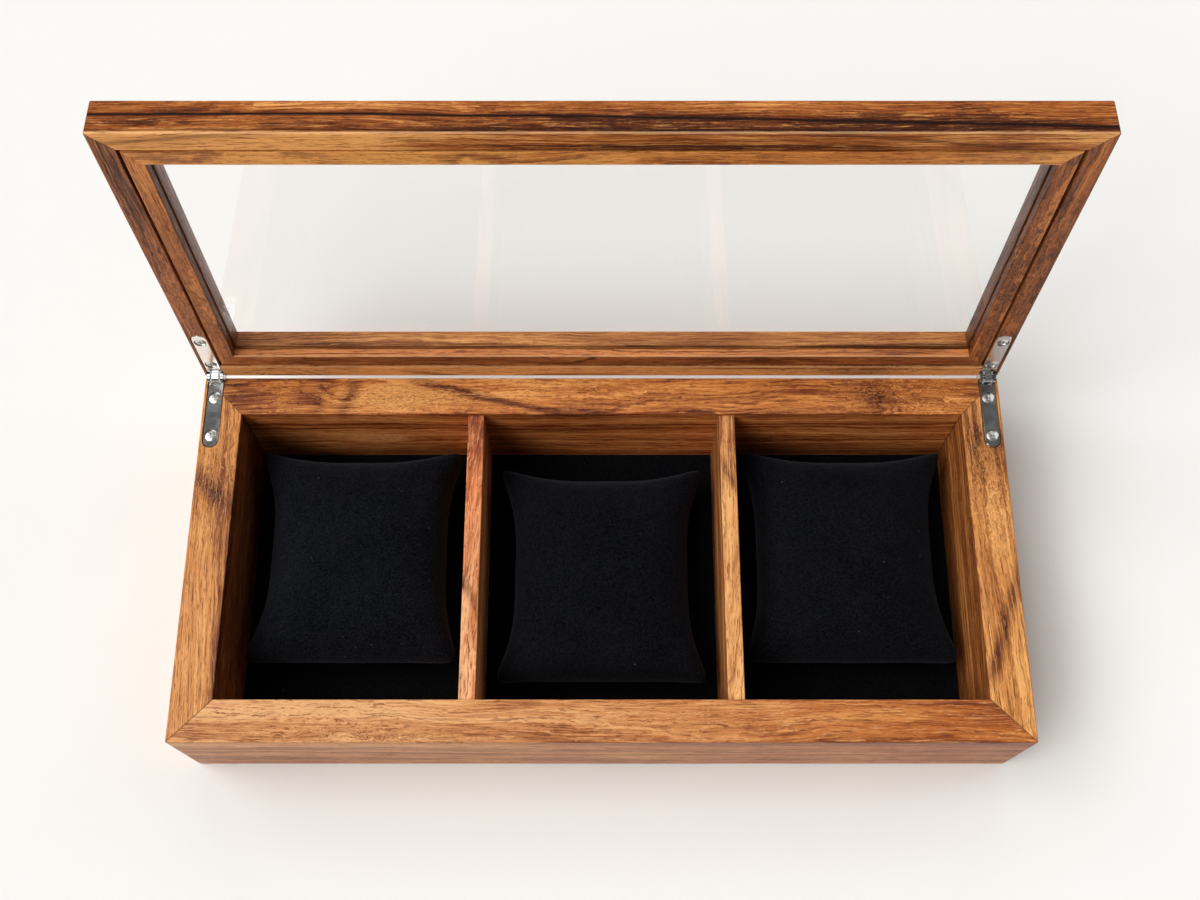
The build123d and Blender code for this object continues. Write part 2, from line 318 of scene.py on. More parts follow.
@dataclass
class Board:
    """How one board looks, in millimetres along it, across it and up from its centre.

    The board runs along x or y, and its seed moves the grain. The figure is a field of growth
    rings about the pith, which sway, ripple and slope along the board. Its tone runs from pale
    through mid to deep. Lines, pores and gleam are the strengths of the latewood, the dark
    strands and the pale ones, which are partly pale fibre and partly painted glints of light.

    Patches are (centre, size, angle, strength): bends push the rings aside, curls crimp the
    fibres, shades darken, or lighten where they are negative, smoke stains, and tints have their
    colour last. Faces darken one side of the board, or lighten it where they are negative, and
    the faces given for painted shade darken one side in the smoke's colour: (axis, low, high,
    strength). Painted highlights lighten an arris, as if its rounded edge caught the light:
    (axis, place, axis, place, width, strength). Streaks are near-black sheets: (height, slope,
    curve, lean, width, strength). A mitre is (outward, middle).
    """

    seed: float
    run: str = "x"
    lid: bool = False
    pith: tuple = (-8.0, -60.0)
    sway: float = 4.0
    ripple: float = 0.6
    slope: float = 0.0
    pale: tuple = (224, 158, 94)
    mid: tuple = (190, 118, 62)
    deep: tuple = (118, 62, 30)
    # The colour of smoky stains, and of painted shade on chosen faces
    smoke_and_shade: tuple = (142, 112, 100)
    contrast: float = 1.25
    lines: float = 0.7
    pores: float = 0.75
    gleam: float = 0.55
    gloss: float = 0.28
    bends: tuple = ()
    curls: tuple = ()
    shades: tuple = ()
    faces: tuple = ()
    edges: tuple = ()
    smoke: tuple = ()
    painted_shade_faces: tuple = ()
    tints: tuple = ()
    streaks: tuple = ()
    mitre: tuple = ()


def lid_shut():
    """The matrix that turns the lid from rest, where it stands open, to shut."""
    hinge = next(joint for joint in frame["joints"] if joint["name"] == "lid_hinge")
    pivot = Matrix.Translation(hinge["pos_m"])
    angle = radians(hinge["range_deg"][1])
    return pivot @ Matrix.Rotation(angle, 4, Vector(hinge["axis"])) @ pivot.inverted()


def board_matrix(node, run, lid):
    """The matrix from the shared frame to a board's own, whose origin is the board's centre."""
    matrix = Matrix.Rotation(-pi / 2, 4, "Z") if run == "y" else Matrix.Identity(4)
    if lid:
        matrix = matrix @ lid_shut()
    low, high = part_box(node)
    centre = matrix @ ((low + high) / 2)
    return Matrix.Translation(-centre) @ matrix


def soft_spot(shader, place, spot):
    """1 at the middle of an egg-shaped patch of a board, fading to 0 at its edge."""
    centre, size, angle, _ = spot
    near = shader.mapping(place, centre, (0, 0, radians(angle)), size, "TEXTURE")
    return shader.range(shader.vector("LENGTH", near), 1.0, 0.0)


def split_by_name(shader, place):
    """A place's three numbers, by the names that faces and edges call them."""
    return dict(zip(("along", "across", "up"), shader.split(place)))


def add_faces(shader, place, value, faces):
    """Add to a value on chosen faces, each with a crisp edge."""
    sides = split_by_name(shader, place)
    for axis, low, high, strength in faces:
        start = shader.range(sides[axis], low - FACE_BLUR_MM, low + FACE_BLUR_MM)
        end = shader.range(sides[axis], high + FACE_BLUR_MM, high - FACE_BLUR_MM)
        inside = shader.math("MULTIPLY", start, end)
        value = shader.math("MULTIPLY_ADD", inside, strength, value)
    return value


def add_arris_highlights(shader, place, value, edges):
    """Add to a value along chosen arrises, for painted highlights where a rounded edge would catch
    the light.
    """
    sides = split_by_name(shader, place)
    for first, first_place, second, second_place, width, strength in edges:
        one = shader.math("ABSOLUTE", shader.math("SUBTRACT", sides[first], first_place))
        two = shader.math("ABSOLUTE", shader.math("SUBTRACT", sides[second], second_place))
        near = shader.range(shader.math("ADD", one, two), width, 0.3 * width)
        value = shader.math("MULTIPLY_ADD", near, strength, value)
    return value


def add_spots(shader, place, value, spots):
    """Add patches to a value, each with its own strength."""
    for spot in spots:
        value = shader.math("MULTIPLY_ADD", soft_spot(shader, place, spot), spot[3], value)
    return value


def ring_field(shader, board, place, grain, crimp):
    """The growth rings: how far a point lies from the pith, how far round it, and its drift."""
    along, across, up = shader.split(place)
    drift = shader.noise(grain, DRIFT_SCALE, 2.0, output="Color")
    drift_across, drift_up, _ = shader.split(shader.vector("SUBTRACT", drift, (0.5, 0.5, 0.5)))
    ring_across = shader.math("MULTIPLY_ADD", drift_across, 2 * board.sway, across)
    ring_up = shader.math("MULTIPLY_ADD", drift_up, 2 * board.sway, up)
    ring_across = shader.math("SUBTRACT", ring_across, board.pith[0])
    ring_up = shader.math("SUBTRACT", ring_up, board.pith[1])
    ring = shader.vector("LENGTH", shader.combine(ring_across, ring_up, 0.0))
    wobble = shader.noise(grain, WOBBLE_SCALE, 3.0)
    ring = shader.math("MULTIPLY_ADD", wobble, 2 * board.ripple, ring)
    ring = shader.math("MULTIPLY_ADD", along, board.slope, ring)
    ring = add_spots(shader, place, ring, board.bends)
    wiggle = shader.math("SUBTRACT", shader.noise(grain, WIGGLE_SCALE, 2.0, 0.6), 0.5)
    curl = shader.math("MULTIPLY", wiggle, crimp)
    ring = shader.math("MULTIPLY_ADD", curl, CURL_BEND_MM, ring)
    turn = shader.math("ARCTAN2", ring_across, ring_up)
    around = shader.math("MULTIPLY", turn, Vector(board.pith).length)
    return ring, around, drift_up


def toned_wood(shader, board, place, tone):
    """The wood's colour from its tone, with the board's shades and darker or lighter faces."""
    tone = shader.math("MULTIPLY_ADD", tone, board.contrast, 0.5)
    tone = add_spots(shader, place, tone, board.shades)
    tone = add_faces(shader, place, tone, board.faces)
    colour = shader.mix(shader.range(tone, *PALE_TO_MID), srgb(*board.pale), srgb(*board.mid))
    return shader.mix(shader.range(tone, *MID_TO_DEEP), colour, srgb(*board.deep))


def add_late_lines(shader, board, colour, grain, ring):
    """Thin dark latewood lines, which come and go."""
    late = shader.wave(ring, LATE_WAVE, 2.0, 0.6, offset=7 * board.seed)
    patchy = shader.range(shader.noise(grain, PATCH_SCALE, 2.0), *PATCH_SPAN)
    late = shader.math("MULTIPLY", shader.range(late, *LATE_SPAN), patchy)
    return shader.mix(shader.math("MULTIPLY", late, board.lines), colour, srgb(*board.deep))


def add_smoke_and_shade(shader, board, place, colour, rings, fibre):
    """Smoky stains, drawn out along the figure, and painted shade on chosen faces in the same
    colour.
    Where they pass 1 the smoke's colour goes on twice.
    """
    if not board.smoke and not board.painted_shade_faces:
        return colour
    stain = add_spots(shader, place, 0.0, board.smoke)
    drawn = shader.math("MULTIPLY_ADD", rings, 0.7, 0.35)
    drawn = shader.math("MULTIPLY_ADD", fibre, 0.5, drawn)
    stain = shader.math("MULTIPLY", stain, drawn)
    # Chosen faces darkened in the smoke's colour: painted shade on inner sides
    stain = add_faces(shader, place, stain, board.painted_shade_faces)
    stain = shader.math("MINIMUM", stain, MOST_SMOKE)
    once = shader.math("MINIMUM", stain, 1.0)
    twice = shader.math("MAXIMUM", shader.math("SUBTRACT", stain, 1.0), 0.0)
    colour = shader.stain(once, colour, srgb(*board.smoke_and_shade))
    return shader.stain(twice, colour, srgb(*board.smoke_and_shade))


def add_tints(shader, board, place, colour):
    """Soft patches of another hue."""
    for centre, size, angle, strength, tint in board.tints:
        spot = soft_spot(shader, place, (centre, size, angle, strength))
        colour = shader.stain(shader.math("MULTIPLY", spot, strength), colour, srgb(*tint))
    return colour


def add_squiggles(shader, board, colour, grain, crimp):
    """Crimped fibres, a dark crease beside a light crest, and the crests' strength."""
    squiggle = shader.noise(grain, SQUIGGLE_SCALE, 2.0, 0.55, distortion=1.2)
    crease = shader.math("MULTIPLY", shader.band(squiggle, CREASE_LEVEL, *SQUIGGLE_BAND), crimp)
    crest = shader.math("MULTIPLY", shader.band(squiggle, CREST_LEVEL, *SQUIGGLE_BAND), crimp)
    for line, shade in ((crease, board.deep), (crest, board.pale)):
        colour = shader.mix(shader.math("MULTIPLY", line, SQUIGGLE_STRENGTH), colour, srgb(*shade))
    return colour, crest


def add_strands(shader, board, colour, fibres):
    """Fine long strands, some dark and some pale, short dark vessels, and the pores' strength."""
    strand = shader.noise(fibres, STRAND_SCALE, 4.0, 0.65)
    pore = shader.range(strand, *DARK_STRAND)
    colour = shader.stain(shader.math("MULTIPLY", pore, board.pores), colour, STRAND_TINT)
    # Pale strands, partly pale fibre and partly painted glints of light on the grain
    bright = shader.math("MULTIPLY", shader.range(strand, *PALE_STRAND), board.gleam)
    colour = shader.mix(bright, colour, srgb(*board.pale))
    vessel = shader.range(shader.noise(fibres, VESSEL_SCALE, 2.0, 0.5), *VESSEL_SPAN)
    vessel = shader.math("MULTIPLY", vessel, VESSEL_STRENGTH)
    return shader.stain(vessel, colour, VESSEL_TINT), pore


def add_streaks(shader, board, place, colour, drift_up):
    """Near-black streaks with soft shoulders, each a curved sheet that cuts through the board."""
    along, across, up = shader.split(place)
    for height, incline, curve, lean, width, strength in board.streaks:
        sheet = shader.math("MULTIPLY_ADD", drift_up, STREAK_DRIFT_MM, up)
        sheet = shader.math("MULTIPLY_ADD", across, lean, sheet)
        rise = shader.math("MULTIPLY_ADD", along, curve, incline)
        rise = shader.math("MULTIPLY_ADD", along, rise, height)
        shoulder = shader.band(sheet, rise, 2.4 * width, 0.0)
        shoulder = shader.math("MULTIPLY", shoulder, 0.75 * strength)
        colour = shader.stain(shoulder, colour, SHOULDER_TINT)
        line = shader.math("MULTIPLY", shader.band(sheet, rise, 0.9 * width, 0.1 * width), strength)
        colour = shader.mix(line, colour, STREAK_COLOUR)
    return colour


def add_glue_line(shader, board, place, colour):
    """The thin dark line of the mitre at each end of the board."""
    if not board.mitre:
        return colour
    along, across, _ = shader.split(place)
    outward, middle = board.mitre
    edge = shader.math("MULTIPLY_ADD", across, -outward, shader.math("ABSOLUTE", along))
    joint = shader.band(edge, middle, *GLUE_BAND_MM)
    return shader.mix(shader.math("MULTIPLY", joint, GLUE_STRENGTH), colour, GLUE_COLOUR)


def wood(node, board):
    """Oiled hardwood for one board."""
    shader = Shader(f"wood_{node}")
    matrix = board_matrix(node, board.run, board.lid)
    place = shader.mapping(
        shader.object_place(), matrix.translation / MM, matrix.to_euler(), (1 / MM,) * 3
    )
    grain = shader.vector("ADD", place, [step * board.seed for step in SEED_STEP])
    crimp = add_spots(shader, place, PLAIN_CRIMP, board.curls)
    ring, around, drift_up = ring_field(shader, board, place, grain, crimp)
    along, _, _ = shader.split(place)
    fibres = shader.combine(along, ring, around)

    broad = shader.range(shader.wave(ring, BROAD_WAVE, 1.0, offset=board.seed), *NOISE_SPAN)
    rings = shader.wave(ring, RING_WAVE, 3.0, 0.65, offset=3 * board.seed)
    rings = shader.range(rings, *RING_SPAN)
    fibre = shader.range(shader.noise(fibres, FIBRE_SCALE, 5.0, 0.72), *NOISE_SPAN)
    cloud = shader.range(shader.noise(grain, CLOUD_SCALE, 2.0), *NOISE_SPAN)
    tone = shader.math("MULTIPLY_ADD", broad, BROAD_TONE, TONE_OFFSET)
    tone = shader.math("MULTIPLY_ADD", rings, RING_TONE, tone)
    tone = shader.math("MULTIPLY_ADD", fibre, FIBRE_TONE, tone)
    tone = shader.math("MULTIPLY_ADD", cloud, CLOUD_TONE, tone)

    colour = toned_wood(shader, board, place, tone)
    colour = add_late_lines(shader, board, colour, grain, ring)
    colour = add_smoke_and_shade(shader, board, place, colour, rings, fibre)
    colour = add_tints(shader, board, place, colour)
    colour, crest = add_squiggles(shader, board, colour, grain, crimp)
    colour, pore = add_strands(shader, board, colour, fibres)
    colour = add_streaks(shader, board, place, colour, drift_up)
    # Painted highlights along chosen arrises, as if their rounded edges caught the light
    if board.edges:
        colour = shader.mix(add_arris_highlights(shader, place, 0.0, board.edges), colour, ARRIS_HIGHLIGHT_COLOUR)
    colour = add_glue_line(shader, board, place, colour)

    # Pores are sunk, and fibres and crests stand up
    height = shader.math("MULTIPLY_ADD", pore, -0.8, shader.math("MULTIPLY", fibre, 0.5))
    height = shader.math("MULTIPLY_ADD", crest, 0.8, height)
    surface = shader.principled(
        {
            "Base Color": colour,
            "Roughness": shader.math("MULTIPLY_ADD", pore, PORE_ROUGHNESS, WOOD_ROUGHNESS),
            "Specular IOR Level": board.gloss,
            "Normal": shader.bump(height, GRAIN_DEPTH_MM * MM),
        }
    )
    return shader.finish(surface)


def mitre(outward, run, width):
    """A board's mitre: which way is outward, and where its line crosses the board's middle."""
    half = CASE_HALF_X if run == "x" else CASE_HALF_Y
    return outward, half / MM - width / MM / 2


def case_mitre(outward, run):
    """The mitre of a case wall, from the thickness of the walls."""
    low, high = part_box("front_wall")
    return mitre(outward, run, high.y - low.y)


def lid_mitre(outward, run):
    """The mitre of a lid member, from the width of its face."""
    low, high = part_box("lid_left_stile")
    return mitre(outward, run, high.x - low.x)


def assign(node, material):
    """Give a CAD node its finish."""
    slots = frame["nodes"][node].data.materials
    slots.clear()
    slots.append(material)


# How far the top of a case wall lies above its centre
RIM_MM = 22.0

# The figure of every board. The lid's boards are described as they lie when it is shut, so the
# side that shows when it stands open is the lower one.
BOARDS = {
    "front_wall": Board(
        seed=1.0, mitre=case_mitre(-1, "x"), slope=0.02, pith=(-50.0, -50.0),
        pale=(238, 178, 120), mid=(212, 142, 84), deep=(150, 84, 42), contrast=1.15,
        shades=(
            ((-95.0, 0.0, RIM_MM), (90.0, 30.0, 8.0), 0, -0.18),
            ((-30.0, 6.0, RIM_MM), (26.0, 5.0, 6.0), 8, 0.36),
            ((95.0, -4.0, RIM_MM), (70.0, 6.0, 8.0), 3, 0.34),
            ((145.0, 4.0, RIM_MM), (42.0, 12.0, 8.0), 0, 0.42),
            ((95.0, 2.0, RIM_MM), (45.0, 3.0, 6.0), 3, -0.32),
            ((-125.0, -8.0, -10.0), (34.0, 4.0, 6.0), 0, 0.40),
        ),
        faces=(("across", -9.0, -7.3, 0.14),),
        tints=(
            ((150.0, 0.0, RIM_MM), (230.0, 60.0, 60.0), 0, 1.0, (228, 198, 150)),
            ((150.0, 0.0, RIM_MM), (120.0, 60.0, 60.0), 0, 0.5, (228, 202, 168)),
        ),
        curls=(
            ((-78.0, -6.0, RIM_MM), (52.0, 6.0, 6.0), 0, 1.0),
            ((-95.0, 2.0, RIM_MM), (50.0, 9.0, 6.0), 0, 0.35),
            ((20.0, 0.0, RIM_MM), (80.0, 9.0, 6.0), 0, 0.20),
        ),
    ),
    "back_wall": Board(
        seed=2.0, mitre=case_mitre(1, "x"), slope=-0.01, pith=(-20.0, -66.0), sway=5.0,
        pale=(244, 172, 98), mid=(206, 126, 60), deep=(128, 58, 24), lines=0.8, contrast=1.35,
        faces=(("across", -9.0, -7.1, 0.12),),
        tints=(((0.0, -9.0, 0.0), (400.0, 3.0, 200.0), 0, 1.0, (255, 212, 218)),),
        bends=(
            ((-87.0, -8.0, -3.0), (19.0, 6.0, 6.5), 0, 5.0),
            ((-96.0, 0.0, RIM_MM), (16.0, 9.0, 9.0), 0, 3.0),
        ),
        curls=(
            ((-72.0, -1.0, RIM_MM), (36.0, 10.0, 9.0), 0, 0.95),
            ((-119.0, 0.0, RIM_MM), (16.0, 10.0, 9.0), 0, 0.45),
            ((112.0, 0.0, RIM_MM), (36.0, 12.0, 9.0), 0, 1.0),
            ((0.0, 2.0, RIM_MM), (70.0, 9.0, 9.0), 0, 0.35),
            ((-87.0, -8.0, -2.0), (18.0, 6.0, 6.0), 0, 0.9),
        ),
        shades=(
            ((-119.0, -1.0, RIM_MM), (10.0, 6.0, 8.0), 20, -0.35),
            ((-122.0, 0.0, RIM_MM), (26.0, 16.0, 9.0), 0, 0.20),
            ((-78.0, 1.0, RIM_MM), (34.0, 12.0, 9.0), 0, -0.80),
            ((-36.0, 2.0, RIM_MM), (34.0, 12.0, 9.0), 0, -0.34),
            ((20.0, 2.0, RIM_MM), (60.0, 9.0, 9.0), 0, -0.12),
            ((125.0, 2.0, RIM_MM), (30.0, 12.0, 9.0), 0, -0.12),
            ((-87.0, -8.0, -2.0), (17.0, 6.0, 5.5), 0, -0.80),
            ((-90.0, -8.0, -2.0), (50.0, 6.0, 30.0), 0, -0.20),
        ),
        smoke=(
            ((-137.0, 3.0, RIM_MM), (13.0, 11.0, 10.0), 30, 0.8),
            ((-106.0, 0.0, RIM_MM), (4.5, 15.0, 10.0), -8, 0.8),
            ((-95.0, 0.0, RIM_MM), (5.0, 18.0, 10.0), -16, 0.9),
            ((-56.0, 2.5, RIM_MM), (28.0, 3.0, 10.0), -14, 1.2),
            ((-32.0, -3.5, RIM_MM), (28.0, 2.6, 10.0), -12, 1.2),
            ((-8.0, -6.5, RIM_MM), (26.0, 2.6, 10.0), -3, 0.8),
            ((60.0, -6.5, RIM_MM), (60.0, 2.0, 10.0), 0, 0.4),
            ((103.0, 0.0, RIM_MM), (9.0, 13.0, 10.0), 20, 1.0),
            ((140.0, 1.0, RIM_MM), (8.0, 9.0, 10.0), -30, 0.4),
            ((-30.0, -8.0, 6.0), (50.0, 5.0, 3.0), 0, 0.7),
            ((60.0, -8.0, -2.0), (60.0, 5.0, 2.5), 0, 0.7),
            ((-118.0, -8.0, 4.0), (20.0, 5.0, 14.0), 0, 0.5),
        ),
    ),
    "left_wall": Board(
        run="y", seed=3.0, mitre=case_mitre(1, "y"), pith=(55.0, -50.0), slope=0.03,
        pale=(240, 172, 104), mid=(212, 140, 74), deep=(136, 74, 34), contrast=1.1,
        shades=(
            ((22.0, 0.0, RIM_MM), (30.0, 16.0, 10.0), 30, 0.42),
            ((62.0, -4.0, RIM_MM), (16.0, 8.0, 10.0), 0, 0.12),
            ((-20.0, -7.5, RIM_MM), (70.0, 4.0, 8.0), 0, 0.40),
            ((-8.0, 3.0, RIM_MM), (30.0, 8.0, 10.0), 0, 0.15),
        ),
        smoke=(
            ((24.0, 1.0, RIM_MM), (17.0, 5.5, 9.0), 42, 1.0),
            ((-45.0, -6.5, RIM_MM), (24.0, 2.4, 8.0), 0, 0.45),
        ),
        # Its inner face is darkened in the smoke's colour: painted shade
        painted_shade_faces=(("across", -9.0, -7.3, 1.1),),
        curls=(((30.0, 0.0, RIM_MM), (32.0, 12.0, 8.0), 0, 0.5),),
    ),
    "right_wall": Board(
        run="y", seed=4.0, mitre=case_mitre(-1, "y"), pith=(-58.0, -50.0), slope=-0.03,
        pale=(240, 172, 100), mid=(206, 134, 68), deep=(128, 68, 28), contrast=1.3,
        faces=(("across", 7.3, 9.0, 0.44),),
        shades=(
            ((14.0, -2.0, RIM_MM), (24.0, 9.0, 8.0), 0, -0.26),
            ((38.0, 0.0, RIM_MM), (20.0, 12.0, 8.0), 0, 0.30),
            ((-45.0, -4.0, RIM_MM), (30.0, 6.0, 8.0), 0, -0.16),
        ),
        smoke=(
            ((-14.0, -5.0, RIM_MM), (13.0, 4.0, 9.0), -16, 0.9),
            ((-27.0, -0.5, RIM_MM), (17.0, 4.0, 9.0), -20, 0.9),
            ((-42.0, 4.5, RIM_MM), (14.0, 4.0, 9.0), -22, 1.1),
            ((46.0, 3.0, RIM_MM), (22.0, 9.0, 9.0), 0, 0.75),
        ),
        curls=(((26.0, 0.0, RIM_MM), (40.0, 12.0, 9.0), 0, 1.0),),
    ),
    "left_divider": Board(
        run="y", seed=5.0, pith=(-30.0, -36.0), slope=0.06,
        pale=(248, 184, 130), mid=(216, 138, 82), deep=(138, 64, 32),
        shades=(
            ((-45.0, 0.0, 20.0), (22.0, 8.0, 20.0), 0, -0.30),
            ((22.0, 0.0, 20.0), (20.0, 8.0, 20.0), 0, -0.20),
        ),
        tints=(((40.0, 0.0, 20.0), (80.0, 12.0, 30.0), 0, 1.0, (240, 196, 170)),),
        smoke=(
            ((50.0, 0.0, 20.0), (28.0, 8.0, 16.0), 0, 0.8),
            ((-14.0, 1.0, 20.0), (11.0, 3.0, 10.0), 20, 0.8),
        ),
    ),
    "right_divider": Board(
        run="y", seed=6.0, pith=(28.0, -38.0), slope=-0.05,
        pale=(246, 186, 118), mid=(224, 154, 90), deep=(136, 74, 36),
        smoke=(((30.0, 0.0, 20.0), (15.0, 2.6, 12.0), 24, 1.0),),
        shades=(
            ((-30.0, 0.0, 20.0), (50.0, 8.0, 20.0), 0, -0.34),
            ((16.0, 0.0, 20.0), (24.0, 8.0, 20.0), 0, -0.34),
        ),
        # Its left face is painted darker, as painted shade, and its right face a little darker
        faces=(("across", -5.0, -2.9, 0.12), ("across", 2.9, 5.0, 0.50)),
    ),
    "bottom_panel": Board(seed=7.0),
    "lid_front_rail": Board(
        lid=True, seed=8.0, mitre=lid_mitre(-1, "x"), pith=(-60.0, 4.0), ripple=0.4,
        pale=(248, 176, 100), mid=(170, 92, 38), deep=(86, 38, 15), lines=0.6, contrast=1.3,
        gloss=0.12,
        faces=(
            ("up", -9.0, -6.0, -0.30),
            ("across", -9.0, -6.6, 0.14),
        ),
        # A painted highlight along the arris of the outer face and the underside
        edges=(("across", -7.1, "up", -6.25, 0.7, 0.38),),
        shades=(
            ((0.0, -7.0, -2.6), (400.0, 4.0, 3.0), 0, 0.20),
            ((-60.0, -7.0, 4.6), (200.0, 4.0, 3.0), 0, -0.14),
            ((110.0, -7.0, -3.0), (120.0, 4.0, 6.0), 0, 0.20),
            ((-40.0, -6.0, -6.2), (160.0, 2.4, 3.0), 0, -0.2),
            ((20.0, -1.0, -6.2), (60.0, 2.0, 3.0), 0, 0.4),
            ((-128.0, 0.0, -6.3), (60.0, 16.0, 4.0), 0, -1.0),
            ((-75.0, 0.0, -6.3), (44.0, 16.0, 4.0), 0, -0.24),
            ((-36.0, 0.0, -6.3), (34.0, 20.0, 5.0), 0, 0.30),
            ((26.0, 0.0, -6.3), (110.0, 20.0, 5.0), 0, 0.62),
            ((72.0, 0.0, -6.3), (40.0, 20.0, 5.0), 0, 0.16),
            ((122.0, 0.0, -6.3), (32.0, 16.0, 5.0), 0, 0.34),
            ((20.0, -7.1, 0.0), (90.0, 4.0, 9.0), 0, 0.12),
        ),
        streaks=(
            (-0.35, -0.0167, -0.0000667, 0.0, 0.95, 1.0),
            (-5.1, 0.0, 0.0, 0.0, 0.6, 0.6),
            (-2.07, -0.0088, -0.00022, -0.39, 0.5, 0.35),
        ),
    ),
    "lid_back_rail": Board(
        lid=True, seed=9.0, mitre=lid_mitre(1, "x"), pith=(-30.0, -40.0), contrast=1.3,
        pale=(236, 166, 98), mid=(174, 106, 56), deep=(88, 42, 20), lines=0.85,
        faces=(
            ("up", -9.0, -6.0, -0.50),
            ("across", -9.0, -6.9, 0.10),
        ),
        bends=(((-120.0, 3.0, -6.0), (18.0, 9.0, 9.0), 0, 4.0),),
        shades=(
            ((-62.0, 0.0, 0.0), (70.0, 14.0, 14.0), 0, -0.26),
            ((90.0, 0.0, 0.0), (60.0, 14.0, 14.0), 0, 0.12),
        ),
        smoke=(
            ((-118.0, 6.5, -6.0), (14.0, 1.8, 5.0), 0, 1.2),
            ((-64.0, 5.0, -6.0), (20.0, 1.8, 5.0), 10, 1.2),
            ((20.0, -7.0, 0.0), (50.0, 5.0, 2.2), 0, 0.8),
            ((-100.0, -7.0, 1.0), (40.0, 5.0, 1.6), 0, 0.8),
            ((110.0, -7.0, 0.0), (50.0, 5.0, 3.0), 0, 0.8),
            ((-8.0, 6.0, -6.0), (30.0, 2.0, 5.0), 0, 0.8),
            ((50.0, 1.0, -6.0), (40.0, 1.6, 5.0), 0, 0.8),
            ((98.0, 3.0, -6.0), (26.0, 5.0, 5.0), 0, 0.8),
        ),
        # A painted highlight along an arris of the underside
        edges=(("across", 0.3, "up", -6.25, 0.7, 0.5),),
        curls=(((95.0, 3.0, -6.0), (40.0, 12.0, 9.0), 0, 0.8),),
    ),
    "lid_left_stile": Board(
        run="y", lid=True, seed=10.0, mitre=lid_mitre(1, "y"), pith=(40.0, -50.0), contrast=1.3,
        pale=(222, 138, 72), mid=(166, 94, 50), deep=(84, 42, 20),
        shades=(((-50.0, 3.0, -6.0), (36.0, 9.0, 8.0), 0, 0.30),),
        # Its inner side is darkened in the smoke's colour: painted shade
        painted_shade_faces=(("across", -9.0, -6.9, 0.9),),
        curls=(((20.0, 3.0, -6.0), (50.0, 9.0, 9.0), 0, 0.6),),
    ),
    "lid_right_stile": Board(
        run="y", lid=True, seed=11.0, mitre=lid_mitre(-1, "y"), pith=(-40.0, -50.0), contrast=1.4,
        pale=(204, 120, 52), mid=(142, 76, 30), deep=(64, 30, 12),
        # Its inner side is darkened in the smoke's colour: painted shade
        painted_shade_faces=(("across", 6.9, 9.0, 0.9),),
        curls=(((0.0, 0.0, -6.0), (70.0, 12.0, 12.0), 0, 1.0),),
        smoke=(((-30.0, 2.0, -6.0), (26.0, 5.0, 8.0), 12, 0.8),),
    ),
    "front_glazing_bead": Board(
        lid=True, seed=12.0, pale=(242, 166, 86), mid=(206, 124, 54), deep=(132, 66, 26),
        shades=(
            ((-75.0, 0.0, 0.0), (80.0, 12.0, 12.0), 0, -0.32),
            ((52.0, 0.0, 0.0), (60.0, 12.0, 12.0), 0, 0.34),
        ),
        # Its inner side is darkened in the smoke's colour: painted shade
        painted_shade_faces=(("across", 2.9, 4.0, 0.6),),
    ),
    "back_glazing_bead": Board(
        lid=True, seed=13.0, pale=(210, 130, 70), mid=(156, 86, 44), deep=(74, 32, 14), lines=0.9,
        smoke=(
            ((-110.0, 0.0, -1.5), (30.0, 3.0, 3.0), 0, 0.8),
            ((-20.0, 1.0, -1.5), (26.0, 2.0, 3.0), 0, 0.8),
            ((60.0, 0.0, -1.5), (34.0, 3.0, 3.0), 0, 0.9),
            ((110.0, -3.0, 0.0), (24.0, 3.0, 3.0), 0, 0.9),
        ),
        faces=(("across", -4.0, -2.85, -0.35),),
        # A painted highlight along an arris of the inner side
        edges=(("across", -3.0, "up", -1.5, 0.7, 0.3),),
        contrast=1.5,
    ),
    "left_glazing_bead": Board(
        run="y", lid=True, seed=14.0, pale=(224, 142, 72), mid=(172, 100, 46), deep=(96, 48, 20),
        # Its inner side is painted near black: painted shade
        painted_shade_faces=(("across", -4.0, -2.9, 1.6),),
        shades=(((-50.0, 0.0, 0.0), (30.0, 9.0, 9.0), 0, -0.25),),
        curls=(((20.0, 0.0, 0.0), (60.0, 9.0, 9.0), 0, 0.6),),
    ),
    "right_glazing_bead": Board(
        run="y", lid=True, seed=15.0, pale=(212, 130, 62), mid=(158, 88, 40), deep=(80, 38, 16),
        # Its inner side is painted near black: painted shade
        painted_shade_faces=(("across", 2.9, 4.0, 1.6),), contrast=1.5,
        curls=(((0.0, 0.0, 0.0), (70.0, 12.0, 12.0), 0, 1.0),),
    ),
}


def finish_wood():
    """Give every board its own wood."""
    for node, board in BOARDS.items():
        assign(node, wood(node, board))


# ---------------------------------------------------------------- metal, glass and velvet

# Metal: noise scales in waves for each metre, how much the worn patches roughen it, and how
# deeply it is drawn
WORN_SCALE = (160.0, 160.0, 160.0)
DRAWN_SCALE = (2500.0, 60.0, 60.0)
WORN_SPAN = (0.35, 0.65)
WORN_ROUGHNESS = 0.08
DRAWN_DEPTH_MM = 0.001

GLASS_TINT = (0.965, 0.968, 0.965, 1.0)
GLASS_SHADOW = (0.96, 0.965, 0.96, 1.0)
GLASS_IOR = 1.36

# Velvet: noise scales in waves for each millimetre
BRUSHED_SCALE = (0.05, 0.05, 0.05)
NAP_SCALE = (1.4, 1.4, 1.4)
TIP_SPAN = (0.40, 0.66)
SHEEN_TINT = (0.48, 0.51, 0.60, 1.0)
PILE_DEPTH_MM = 0.25

# Lint: cells for each millimetre, the share of them without a speck, a speck's reach and core as
# parts of a cell, and how strongly it shows
LINT_SCALE = 0.16
LINT_EMPTY = 0.55
LINT_SPAN = (0.06, 0.02)
LINT_STRENGTH = 0.35
LINT_COLOUR = srgb(110, 112, 118)


